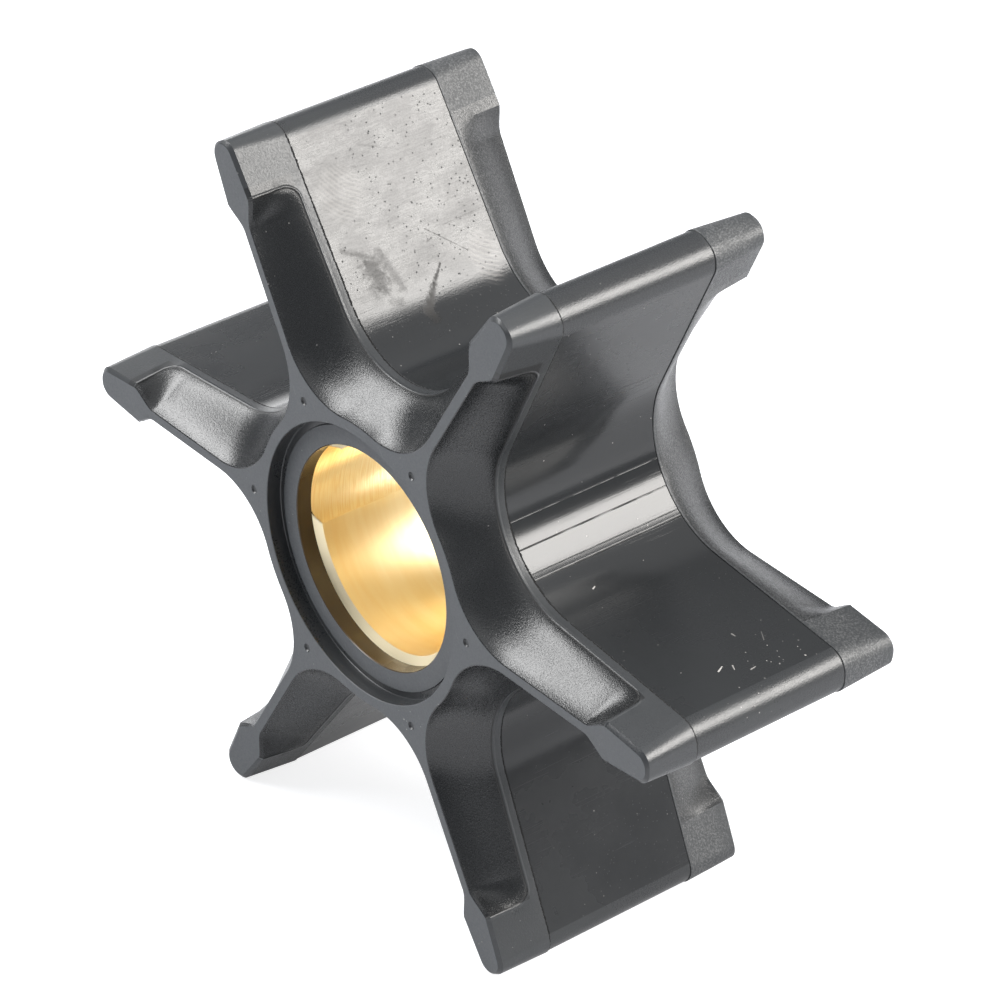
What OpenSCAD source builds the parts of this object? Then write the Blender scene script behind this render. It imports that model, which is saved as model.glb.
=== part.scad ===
// Flexible vane impeller for a small water pump: a rubber vane wheel moulded on a slotted brass hub insert.
// Millimetres. The bore lies along Y and the front end face looks towards -Y, with +Z up.
// The origin is on the bore axis at mid length. Angles are counted from +X towards +Z.
// Each module is modelled along its own z axis, front end up, and laid down by lay_down().

/* [Overall] */
// Diameter over the vane tips
tip_d = 66; // [62:0.5:70]
// Length along the bore
body_len = 23.6; // [22:0.2:27]

/* [Vane Section] */
// Half thickness of a vane at the parting lines, its walls carried on to the tip radius
tip_half = 1.77; // [1.7:0.01:1.95]
// Growth of the half thickness for each millimetre towards the hub
vane_slope = 0.1; // [0.08:0.01:0.12]
// Radius of the tip corners at the parting lines
tip_corner_r = 1.7; // [1.3:0.05:1.7]
// Step of the middle zone below the two end zones
mid_inset = 0.06; // [0.04:0.01:0.12]

/* [Pocket Between Vanes] */
// Radius of the pocket floor at the parting lines
pocket_floor_r = 14.4; // [14:0.1:15]

/* [End Zones] */
// Length of the front end zone
front_land = 4.6; // [4:0.1:5.2]
// Length of the rear end zone
rear_land = 5; // [4:0.1:5.4]
// Plain band between the coved relief and the parting line at the front
front_band = 0.8; // [0.5:0.1:1.2]
// Plain band between the coved relief and the parting line at the rear
rear_band = 0.2; // [0.1:0.1:0.8]
// Half thickness of the tip bulb on the end face, its sides carried on to the tip radius
bulb_half = 1.27; // [1.25:0.01:1.4]
// Radius of the bulb's corners on the end face
bulb_corner_r = 1.1; // [0.8:0.05:1.1]
// Distance from the vane tip to the shoulder of the bulb
bulb_len = 4.8; // [4.4:0.1:5.4]
// Run of the flare from the shoulder down to the thin web
flare_len = 2.4; // [2:0.1:2.8]
// Half thickness of the thin web on the end face
web_half = 0.43; // [0.35:0.01:0.6]
// Fillet between the web and the hub ring on the end face
web_fillet_r = 6.5; // [5:0.1:7]
// Outer radius of the hub ring on the end face
face_ring_r = 12.15; // [12:0.05:12.5]
// Bevel around the bulb on the end face
bulb_bevel = 0.25; // [0.15:0.05:0.25]
// How far the end of the tip sits in from the tip radius
bulb_inset = 0.12; // [0.1:0.02:0.2]

/* [Hub Mouth] */
// Radius of the counterbore in each end face
mouth_r = 11.2; // [11:0.05:11.5]
// Depth of the counterbore down to the lip
mouth_depth = 1.15; // [0.9:0.05:1.4]
// Inner radius of the rubber lip over the insert
lip_r = 9; // [8.8:0.05:9.3]
// Outer radius of the raised band of the lip
lip_band_r = 10.6; // [10.2:0.05:10.9]
// Height of the raised band
lip_band_h = 0.15; // [0.1:0.05:0.25]
// Depth from the end face to the end of the insert
insert_depth = 2.5; // [2.2:0.1:3]

/* [Moulding Marks] */
// Radius of the circle of small dimples on each end face
dimple_circle_r = 12.8; // [12.6:0.05:13]
// Radius of a dimple
dimple_r = 0.36; // [0.2:0.02:0.45]
// Depth of a dimple
dimple_depth = 0.15; // [0.1:0.05:0.4]

/* [Brass Insert] */
// Outer radius of the insert
insert_r = 11.6; // [11.4:0.05:11.9]
// Chamfer around the insert's outer edges, filled by the rubber
insert_edge = 0.3; // [0.2:0.05:0.4]
// Radius of the shaft bore
bore_r = 8.35; // [8.2:0.05:8.5]
// Depth of the chamfer at the mouths of the bore
mouth_chamfer = 0.4; // [0.3:0.05:0.6]
// Radius of the drive slot
slot_r = 4.3; // [4:0.05:4.4]
// Distance of the slot's centre from the bore axis
slot_offset = 6.1; // [5.9:0.05:6.2]
// Direction of the drive slot
slot_angle = 163; // [150:1:176]

/* [Hidden] */
$fn = 96;
vane_count = 6;
half_sector = 180 / vane_count;
// points taken along each stretch of the vane outline
tip_steps = 6;
flare_steps = 5;
web_steps = 1;
root_steps = 4;
// levels cut through the coved relief
relief_levels = 4;
// share of the pocket arc that belongs to the root stretch
root_share = 0.85;
// half angle of the short flat on the pocket floor of the middle zone
floor_turn = 3;
// how far the bulb's shoulder leans towards the hub at the crest of the relief
shoulder_lean = 0.3;
// slope of the relief curve at the web and at the crest
relief_start = 0.58;
relief_finish = 0.25;
// sharpness kept by the shoulder, and draft of the wall under the crest
shoulder_keep = 0.7;
wall_draft = 0.2;
// overlap of the middle zone into the end zones
zone_overlap = 0.1;
eps = 0.1;

tip_r = tip_d / 2;
shoulder_u = tip_r - bulb_len;
web_u = shoulder_u - flare_len;
insert_len = body_len - 2 * insert_depth;

// half thickness of the vane at the distance u from the axis
function wall_half(u, inset) = tip_half - inset + vane_slope * (tip_r - u);
function bulb_side(u) = bulb_half + vane_slope * (tip_r - u);

// the pocket between two vanes ends in one round: its centre distance and its radius
function wall_norm() = sqrt(1 + vane_slope * vane_slope);
function wall_gain() = (sin(half_sector) + vane_slope * cos(half_sector)) / wall_norm();
function wall_base(inset) = (tip_half - inset + vane_slope * tip_r) / wall_norm();
function pocket_dist(inset) = (pocket_floor_r - inset - wall_base(inset)) / (1 - wall_gain());
function pocket_round(inset) = pocket_dist(inset) - pocket_floor_r + inset;
function pocket_c(inset) = pocket_dist(inset) * [cos(half_sector), sin(half_sector)];
wall_turn = 270 - atan(vane_slope);

// the same for the fillet between the web and the hub ring on the end face
fillet_c_v = web_half + web_fillet_r;
fillet_c_u = sqrt(pow(face_ring_r + web_fillet_r, 2) - fillet_c_v * fillet_c_v);
fillet_end = 180 + atan(fillet_c_v / fillet_c_u);

function around(c, r, a) = [c[0] + r * cos(a), c[1] + r * sin(a)];
function flare(x) = x * x * (2.2 - 1.2 * x);
function mix(a, b, t) = a + (b - a) * t;

// a corner of the tip, round from the flat of the tip to where it meets the side without a kink
function tip_corner(half, r, inset) =
    let (u = tip_r - inset - r, v = half - inset + vane_slope * (tip_r - u) - r * wall_norm())
    [for (i = [0:tip_steps]) around([u, v], r, min(90 * i / tip_steps, 90 - atan(vane_slope)))];

// upper half of one vane's outline at a parting line, from the tip to the pocket floor
function wall_points(inset) =
    let (c = pocket_c(inset), r = pocket_round(inset))
    let (root_u = c[0] + r * cos(wall_turn))
    concat(
        tip_corner(tip_half, tip_corner_r, inset),
        [[shoulder_u, wall_half(shoulder_u, inset)]],
        [for (i = [1:flare_steps])
            let (u = web_u + (flare_len - shoulder_lean) * (1 - i / flare_steps))
            [u, wall_half(u, inset)]],
        [for (i = [1:web_steps])
            let (u = mix(web_u, root_u, i / (web_steps + 1)))
            [u, wall_half(u, inset)]],
        [for (i = [0:root_steps])
            around(c, r, wall_turn - root_share * (wall_turn - 180 - half_sector) * i / root_steps)]
    );

// the matching points on the end face
function face_points() = concat(
    tip_corner(bulb_half + bulb_inset, bulb_corner_r, bulb_inset),
    [[shoulder_u, bulb_side(shoulder_u)]],
    [for (i = [1:flare_steps])
        let (x = 1 - i / flare_steps)
        [web_u + flare_len * x, web_half + (bulb_side(shoulder_u) - web_half) * flare(x)]],
    [for (i = [1:web_steps])
        [mix(web_u, fillet_c_u, i / (web_steps + 1)), web_half]],
    [for (i = [0:root_steps])
        around([fillet_c_u, fillet_c_v], web_fillet_r, 270 - (270 - fillet_end) * i / root_steps)]
);

bulb_last = tip_steps + 1;
flare_last = bulb_last + flare_steps;

// share of the way from the end face outline to the parting line outline at the depth d
function cove(t) = (t * t * t - 2 * t * t + t) * relief_start + (3 - 2 * t) * t * t
    + (t * t * t - t * t) * relief_finish;
function keep(i) = i > flare_last ? 1 : 1 + shoulder_keep * (flare_last - i) / flare_steps;
function relief(i, d, land, band) =
    pow(cove(min(d / (land - band), 1)), keep(i)) * (1 - wall_draft * (1 - d / land));
function share(i, d, land, band) = i <= bulb_last ? d / land : relief(i, d, land, band);

// the bevel narrows the bulb at the end face and fades along the flare down to the web
function bevel(i, d) = d > 0 ? 0 : bulb_bevel * (1 - min(max(i - bulb_last, 0) / flare_steps, 1));
function bevelled(p, i, d) = let (b = bevel(i, d)) [p[0] - (i <= tip_steps ? b / 2 : 0), p[1] - b];

// the wall between the tip corner and the pocket is straight, so a plain extrusion needs no points on it,
// and its pocket ends in a short flat across the middle of the floor
function bare_wall(inset) =
    let (all = wall_points(inset))
    concat(
        [for (i = [0:len(all) - 1]) if (i <= tip_steps || i > flare_last + web_steps) all[i]],
        [around(pocket_c(inset), pocket_round(inset), 180 + half_sector + floor_turn)]);

WALL = wall_points(0);
FACE = face_points();
function half_outline(d, land, band) =
    [for (i = [0:len(WALL) - 1]) bevelled(mix(FACE[i], WALL[i], share(i, d, land, band)), i, d)];
function floor_r(d, land, band) = mix(face_ring_r, pocket_floor_r, relief(len(WALL), d, land, band));

// whole outline: the half outline mirrored across each vane, with the points given for the pocket floor
function turned(p, a) = [p[0] * cos(a) - p[1] * sin(a), p[0] * sin(a) + p[1] * cos(a)];
function ring(half, bottom) = [
    for (k = [0:vane_count - 1])
        let (a = 2 * half_sector * k, n = len(half))
        for (p = concat(
            [for (p = bottom) turned(p, -half_sector)],
            [for (i = [0:n - 1]) [half[n - 1 - i][0], -half[n - 1 - i][1]]],
            half))
            turned(p, a)
];

// an end of the wheel as strips across each vane and a fan around the hub, seen from above
function cap_faces(first, centre) =
    let (n = len(WALL), step = 2 * n + 1)
    [
        for (k = [0:vane_count - 1])
            let (b = first + k * step, next = first + ((k + 1) % vane_count) * step)
            for (f = concat(
                [for (i = [0:n - 2]) for (g = [
                    [b + n + 2 + i, b + n + 1 + i, b + n - i],
                    [b + n + 2 + i, b + n - i, b + n - 1 - i]]) g],
                [[centre, b + 1, b], [centre, b + 2 * n, b + 1], [centre, next, b + 2 * n]]))
                f
    ];

// the length axis of the modules becomes the bore axis of the frame
module lay_down() {
    rotate([90, 0, 0])
        children();
}

// end zone of the vane wheel, its end face at the top of the wheel
module end_zone(land, band) {
    depths = concat(
        [0],
        [for (k = [0:relief_levels]) mix(bulb_bevel, land - band, k / relief_levels)],
        [land]);
    rings = [for (d = depths) ring(half_outline(d, land, band), [[floor_r(d, land, band), 0]])];
    n = len(rings[0]);
    points = [for (j = [0:len(depths) - 1]) for (p = rings[j]) [p[0], p[1], body_len / 2 - depths[j]]];
    sides = [
        for (j = [0:len(depths) - 2])
            for (i = [0:n - 1])
                let (a = j * n + i, b = j * n + (i + 1) % n, c = a + n, d = b + n)
                for (f = [[a, b, c], [b, d, c]]) f
    ];
    last = (len(depths) - 1) * n;
    centres = [[0, 0, body_len / 2], [0, 0, body_len / 2 - land]];
    caps = concat(
        cap_faces(0, len(points)),
        [for (f = cap_faces(last, len(points) + 1)) [f[2], f[1], f[0]]]);
    polyhedron(points = concat(points, centres), faces = concat(caps, sides), convexity = 8);
}

// middle zone, a plain extrusion that runs a little way into both end zones
module middle_zone() {
    low = -body_len / 2 + rear_land - zone_overlap;
    high = body_len / 2 - front_land + zone_overlap;
    translate([0, 0, low])
        linear_extrude(height = high - low, convexity = 8)
            polygon(ring(bare_wall(mid_inset), []));
}

// counterbore, raised lip band and lip hole at the top end
module hub_mouth() {
    translate([0, 0, body_len / 2 - mouth_depth])
        cylinder(r = mouth_r, h = mouth_depth + eps);
    translate([0, 0, body_len / 2 - mouth_depth - lip_band_h])
        difference() {
            cylinder(r = mouth_r, h = lip_band_h + eps);
            translate([0, 0, -eps])
                cylinder(r = lip_band_r, h = lip_band_h + 3 * eps);
        }
}

// small blind dimples left on the vane lines of the end face
module dimples() {
    for (k = [0:vane_count - 1])
        rotate([0, 0, 2 * half_sector * k])
            translate([dimple_circle_r, 0, body_len / 2 - dimple_depth])
                cylinder(r = dimple_r, h = dimple_depth + eps, $fn = 24);
}

// outside form of the insert, which is also the seat in the rubber
module insert_form() {
    rotate_extrude()
        polygon([
            [0, -insert_len / 2],
            [insert_r - insert_edge, -insert_len / 2],
            [insert_r, -insert_len / 2 + insert_edge],
            [insert_r, insert_len / 2 - insert_edge],
            [insert_r - insert_edge, insert_len / 2],
            [0, insert_len / 2]
        ]);
}

// shaft bore with a chamfer at each mouth
module shaft_bore() {
    cylinder(r = bore_r, h = insert_len + 2 * eps, center = true);
    for (m = [0, 1])
        mirror([0, 0, m])
            translate([0, 0, insert_len / 2 - mouth_chamfer])
                cylinder(r1 = bore_r, r2 = lip_r, h = mouth_chamfer);
    for (m = [0, 1])
        mirror([0, 0, m])
            translate([0, 0, insert_len / 2])
                cylinder(r = lip_r, h = eps);
}

// half round drive slot that runs the whole length of the insert
module drive_slot() {
    rotate([0, 0, slot_angle])
        translate([slot_offset, 0, 0])
            cylinder(r = slot_r, h = insert_len + 2 * eps, center = true);
}

module rubber_vane_wheel() {
    color([0.2, 0.2, 0.21])
        lay_down()
            difference() {
                union() {
                    end_zone(front_land, front_band);
                    mirror([0, 0, 1])
                        end_zone(rear_land, rear_band);
                    middle_zone();
                }
                cylinder(r = lip_r, h = body_len + 2 * eps, center = true);
                insert_form();
                for (m = [0, 1])
                    mirror([0, 0, m]) {
                        hub_mouth();
                        dimples();
                    }
            }
}

module brass_hub_insert() {
    color([0.86, 0.66, 0.28])
        lay_down()
            difference() {
                insert_form();
                shaft_bore();
                drive_slot();
            }
}

rubber_vane_wheel();
brass_hub_insert();
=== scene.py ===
import logging
import math
from dataclasses import dataclass, field, replace
from enum import Enum
from functools import reduce
from typing import Callable, Iterable, Sequence

import bmesh
import bpy
from mathutils import Matrix, Vector
from mathutils.geometry import delaunay_2d_cdt


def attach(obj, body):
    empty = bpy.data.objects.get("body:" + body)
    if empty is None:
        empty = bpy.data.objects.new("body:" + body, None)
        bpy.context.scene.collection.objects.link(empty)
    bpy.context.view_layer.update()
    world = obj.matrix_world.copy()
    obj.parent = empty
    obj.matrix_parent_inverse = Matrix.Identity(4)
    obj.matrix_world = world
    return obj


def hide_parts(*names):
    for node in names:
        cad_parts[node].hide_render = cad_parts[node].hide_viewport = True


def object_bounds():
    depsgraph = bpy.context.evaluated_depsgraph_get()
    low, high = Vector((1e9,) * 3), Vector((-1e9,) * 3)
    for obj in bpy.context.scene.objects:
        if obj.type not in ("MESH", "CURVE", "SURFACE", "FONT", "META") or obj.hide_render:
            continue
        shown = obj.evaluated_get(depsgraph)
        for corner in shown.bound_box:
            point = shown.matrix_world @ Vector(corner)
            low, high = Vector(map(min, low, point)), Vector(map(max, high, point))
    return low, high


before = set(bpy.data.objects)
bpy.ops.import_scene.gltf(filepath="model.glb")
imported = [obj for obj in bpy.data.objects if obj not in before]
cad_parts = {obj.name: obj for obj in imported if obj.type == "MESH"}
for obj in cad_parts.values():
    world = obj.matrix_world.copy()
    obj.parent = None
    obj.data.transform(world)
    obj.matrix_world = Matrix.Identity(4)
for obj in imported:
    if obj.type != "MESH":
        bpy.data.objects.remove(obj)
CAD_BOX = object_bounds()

LOG = logging.getLogger("impeller")
MM = 0.001
PHOTO_PX = 1001
SENSOR_MM = 36.0
VANES = 6

Point = tuple[float, float]
Triple = tuple[float, float, float]
Colour = tuple[float, float, float]
WHITE: Colour = (1.0, 1.0, 1.0)


def grey(level: float, warm: float = 0.0) -> Colour:
    """Returns a near neutral linear colour; warm above zero is browner, below zero bluer."""
    return (level * (1 + warm), level, level * (1 - warm))


# Near-black: the drawn lines' own colour, and painted shade in the relief's crease and along the parting
# line.
DARK_LINE_AND_SHADE = grey(0.004)


def blend(a: float, b: float, t: float) -> float:
    """Returns the value a share t of the way from a to b."""
    return a + (b - a) * t


def polar(radius: float, degrees: float, centre: Point = (0.0, 0.0)) -> Point:
    """Returns the point at a radius and an angle round a centre."""
    a = math.radians(degrees)
    return (centre[0] + radius * math.cos(a), centre[1] + radius * math.sin(a))


class Zone(Enum):
    """The differently finished surfaces of the rubber moulding."""

    WALL = 0
    LAND = 1
    RELIEF = 2
    FACE = 3
    MOUTH = 4
    LIP = 5
    TIP = 6


@dataclass(frozen=True)
class Edges:
    """Where the moulding's edges run, in millimetres: parting line, relief, shoulder, corner."""

    parting: float
    relief: float
    shoulder: float
    corner: float = 1.1


@dataclass(frozen=True)
class Wall:
    """One wall of a vane: the way the vane points, and 1 for its counter-clockwise side or -1."""

    degrees: float
    side: int


@dataclass(frozen=True)
class Mark:
    """A straight mark from start to end, along the vane and the bore, with its half widths."""

    start: Point
    end: Point
    width: float
    end_width: float
    strength: float
    soft: float = 0.5


# Shader expressions


class Graph:
    """A node tree, built through one adding method."""

    def __init__(self, tree: bpy.types.NodeTree) -> None:
        """Empties the tree and keeps it."""
        self.tree = tree
        tree.nodes.clear()

    def add(self, kind: str, settings: dict | None = None, inputs: dict | None = None) -> bpy.types.Node:
        """Adds a node.

        Args:
            kind: The node's type name.
            settings: Its properties, which are set first.
            inputs: Values or Signals for its sockets, by name or by number.

        Returns:
            The new node.
        """
        node = self.tree.nodes.new(kind)
        for key, value in (settings or {}).items():
            setattr(node, key, value)
        for key, value in (inputs or {}).items():
            socket = node.inputs[key]
            if isinstance(value, Signal):
                self.tree.links.new(value.raw, socket)
            elif isinstance(value, tuple) and len(value) < len(socket.default_value):
                socket.default_value = (*value, 1)
            else:
                socket.default_value = value
        return node

    def signal(self, node: bpy.types.Node, output: str | int = 0) -> "Signal":
        """Returns one output of a node as a Signal."""
        return Signal(self, node.outputs[output])

    def value(self, kind: str, settings: dict | None = None, inputs: dict | None = None,
              output: str | int = 0) -> "Signal":
        """Adds a node as add does, and returns one of its outputs."""
        return self.signal(self.add(kind, settings, inputs), output)

    def vector(self, operation: str, inputs: dict, output: str | int = 0) -> "Signal":
        """Returns the result of a Vector Math node."""
        return self.value("ShaderNodeVectorMath", {"operation": operation}, inputs, output)

    def mix(self, factor: object, a: object, b: object) -> "Signal":
        """Returns colour a with a share of colour b mixed in."""
        return self.value("ShaderNodeMix", {"data_type": "RGBA"}, {0: factor, 6: a, 7: b}, 2)


def operation(kind: str, swap: bool = False, clamp: bool = False) -> Callable[..., "Signal"]:
    """Makes a method of Signal that adds a Math node on the signal and further operands.

    Args:
        kind: The node's operation.
        swap: True puts the signal last, for a reflected operator.
        clamp: True limits the result to 0 to 1.

    Returns:
        The method.
    """
    def method(signal: "Signal", *others: object) -> "Signal":
        """Returns the operation's result."""
        values = dict(enumerate([*others, signal] if swap else [signal, *others]))
        return signal.graph.value("ShaderNodeMath", {"operation": kind, "use_clamp": clamp}, values)
    return method


@dataclass(frozen=True)
class Signal:
    """A node output that takes part in Python arithmetic."""

    graph: Graph
    raw: bpy.types.NodeSocket

    __add__ = __radd__ = operation("ADD")
    __mul__ = __rmul__ = operation("MULTIPLY")
    __sub__ = operation("SUBTRACT")
    __rsub__ = operation("SUBTRACT", swap=True)
    __truediv__ = operation("DIVIDE")
    __rtruediv__ = operation("DIVIDE", swap=True)
    __abs__ = operation("ABSOLUTE")
    sine = operation("SINE")
    cosine = operation("COSINE")
    atan2 = operation("ARCTAN2")
    wrap = operation("WRAP")
    root = operation("SQRT")
    most = operation("MAXIMUM")
    limited = operation("ADD", clamp=True)

    def clamp(self) -> "Signal":
        """Returns the signal limited to 0 to 1."""
        return self.limited(0.0)

    def ramp(self, low: float, high: float, a: float = 0.0, b: float = 1.0) -> "Signal":
        """Maps low to high smoothly onto a to b and limits the result.

        Args:
            low: Start of the range.
            high: End of the range.
            a: Result at the start.
            b: Result at the end.

        Returns:
            The mapped signal.
        """
        settings = {"interpolation_type": "SMOOTHSTEP", "clamp": True}
        return self.graph.value("ShaderNodeMapRange", settings, {0: self, 1: low, 2: high, 3: a, 4: b})


def length(a: Signal, b: Signal) -> Signal:
    """Returns the length of the arrow that has these two parts."""
    return (a * a + b * b).root()


def strongest(signals: Iterable[Signal]) -> Signal:
    """Returns the largest of several signals at each place."""
    return reduce(Signal.most, signals)


class Surface(Graph):
    """A material in the making, with the patterns that the finishes share, in millimetres."""

    def __init__(self, name: str) -> None:
        """Starts an empty material.

        Args:
            name: The material's name.
        """
        self.material = bpy.data.materials.new(name)
        self.material.use_nodes = True
        super().__init__(self.material.node_tree)
        place = self.value("ShaderNodeTexCoord", output="Object")
        self.place = self.vector("SCALE", {0: place, 3: 1 / MM})
        parts = self.add("ShaderNodeSeparateXYZ", inputs={0: self.place})
        self.x, self.y, self.z = (self.signal(parts, k) for k in range(3))

    def radius(self) -> Signal:
        """Returns the distance from the bore axis."""
        return length(self.x, self.z)

    def stretched(self, factors: Triple, turn: float = 0.0) -> Signal:
        """Returns the place, turned about the bore axis and stretched.

        Args:
            factors: Scale along each axis after the turn.
            turn: Turn in degrees.

        Returns:
            The vector to read a texture at.
        """
        rotated = self.value("ShaderNodeVectorRotate", {"rotation_type": "Y_AXIS"},
                             {0: self.place, 3: math.radians(turn)})
        return self.vector("MULTIPLY", {0: rotated, 1: factors})

    def noise(self, size: float, detail: float = 2.0, rough: float = 0.5,
              at: Signal | None = None) -> Signal:
        """Returns noise from 0 to 1.

        Args:
            size: Size of the lumps.
            detail: Octaves.
            rough: Strength of the fine octaves.
            at: Vector to read it at; the place if left out.

        Returns:
            The noise.
        """
        inputs = {"Vector": at or self.place, "Scale": 1 / size, "Detail": detail, "Roughness": rough}
        return self.value("ShaderNodeTexNoise", None, inputs, "Fac")

    def dots(self, size: float, inside: float, outside: float) -> Signal:
        """Returns 1 on scattered dots; their reach is given as shares of their spacing."""
        inputs = {"Vector": self.place, "Scale": 1 / size}
        return self.value("ShaderNodeTexVoronoi", None, inputs, "Distance").ramp(inside, outside, 1, 0)

    def on_vane(self, degrees: float) -> tuple[Signal, Signal]:
        """Returns the place along the vane that points in a direction, and the place across it."""
        c, s = polar(1, degrees)
        return self.x * c + self.z * s, self.z * c - self.x * s

    def on_wall(self, wall: Wall) -> Signal:
        """Returns 1 on a vane's wall and 0 elsewhere.

        Args:
            wall: The wall.

        Returns:
            The mask.
        """
        along, across = self.on_vane(wall.degrees)
        away = across * wall.side
        return away.ramp(1.0, 1.2) * away.ramp(5.0, 5.2, 1, 0) * along.ramp(13, 14)

    def stroke(self, degrees: float, mark: Mark, ragged: Signal | float) -> Signal:
        """Returns a straight mark on a vane.

        Args:
            degrees: The way the vane points.
            mark: The mark.
            ragged: Added to the distance from the mark, in half widths.

        Returns:
            The mark's strength on the mark and 0 away from it.
        """
        along, _ = self.on_vane(degrees)
        du, dy = mark.end[0] - mark.start[0], mark.end[1] - mark.start[1]
        square = du * du + dy * dy
        a, b = along - mark.start[0], self.y - mark.start[1]
        t = (a * (du / square) + b * (dy / square)).clamp()
        width = t * (mark.end_width - mark.width) + mark.width
        reach = length(a - t * du, b - t * dy) / width + ragged
        return reach.ramp(1 - mark.soft, 1, 1, 0) * mark.strength

    def marks(self, wall: Wall, marks: Iterable[Mark], ragged: Signal | float = 0.0) -> Signal:
        """Returns the strongest of a wall's marks at each place."""
        return strongest(self.stroke(wall.degrees, mark, ragged) for mark in marks) * self.on_wall(wall)

    def ridges(self, degrees: float, centre: Point, eye: Point, size: Point, pitch: float) -> Signal:
        """Returns faint curved ridges on a vane, as a finger leaves them.

        Args:
            degrees: The way the vane points.
            centre: Centre of the print, along the vane and along the bore.
            eye: Centre of the curves.
            size: Half sizes of the print.
            pitch: Distance between two ridges.

        Returns:
            The mask.
        """
        along, _ = self.on_vane(degrees)
        arc = length(along - eye[0], self.y - eye[1]) * (2 * math.pi / pitch)
        wave = (arc + self.noise(1.4, 2) * 5).sine()
        reach = length((along - centre[0]) / size[0], (self.y - centre[1]) / size[1])
        return (wave * 0.5 + 0.5) * reach.ramp(0.55, 1.0, 1, 0)

    def relief_edge(self, edges: Edges) -> Signal:
        """Returns the distance from the edge of the coved relief at the front of any vane.

        Args:
            edges: Where the edges run.

        Returns:
            The distance, below zero on the relief.
        """
        half_sector = math.pi / VANES
        along = self.radius() * self.z.atan2(self.x).wrap(half_sector, -half_sector).cosine()
        a = (along - (edges.shoulder - edges.corner)).most(0.0)
        b = (self.y - (edges.relief - edges.corner)).most(0.0)
        return length(a, b) - edges.corner

    def seam(self, place: float, width: float) -> Signal:
        """Returns a thin broken line round the piece.

        Args:
            place: Place along the bore.
            width: Half width.

        Returns:
            The mask.
        """
        ragged = self.noise(0.22, 2, 0.6)
        near = abs(self.y - place) / (ragged * (2.4 * width) - 0.2 * width)
        return near.ramp(0.6, 1.1, 1, 0) * ragged.ramp(0.3, 0.36)

    def spot(self, centre: Triple, reach: float) -> Signal:
        """Returns 1 at a point, fading to 0.

        Args:
            centre: The point.
            reach: Distance at which it is 0.

        Returns:
            The mask.
        """
        away = self.vector("SUBTRACT", {0: self.place, 1: centre})
        away = self.vector("DIVIDE", {0: away, 1: (reach,) * 3})
        return self.vector("LENGTH", {0: away}, "Value").ramp(0.5, 1, 1, 0)

    def finish(self, colour: Signal, rough: Signal, relief: Iterable[tuple[Signal, float, float]],
               **constants: float) -> bpy.types.Material:
        """Ends the material with one shader.

        Args:
            colour: Base colour.
            rough: Roughness.
            relief: Heights with their strength and depth in millimetres.
            constants: Values for the shader's own sockets.

        Returns:
            The material.
        """
        inputs: dict = {}
        for height, strength, depth in relief:
            bump = {"Height": height, "Strength": strength, "Distance": depth * MM}
            inputs["Normal"] = self.value("ShaderNodeBump", None, {**bump, **inputs})
        inputs.update({"Base Color": colour, "Roughness": rough})
        inputs.update({key.replace("_", " "): value for key, value in constants.items()})
        shader = self.value("ShaderNodeBsdfPrincipled", None, inputs)
        self.add("ShaderNodeOutputMaterial", None, {0: shader})
        return self.material


# Finishes


@dataclass
class Coat:
    """The colour, roughness and relief of a rubber finish while its layers are laid."""

    s: Surface
    edges: Edges
    colour: Signal
    rough: Signal
    relief: list[tuple[Signal, float, float]]

    def paint(self, mask: Signal, colour: Signal | Colour) -> None:
        """Covers the masked places with a colour."""
        self.colour = self.s.mix(mask, self.colour, colour)

    def roughen(self, amount: Signal) -> None:
        """Adds to the roughness."""
        self.rough = self.rough + amount

    def sink(self, mask: Signal, strength: float, depth: float) -> None:
        """Sinks the masked places by a depth."""
        self.relief.append((1 - mask, strength, depth))


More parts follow.
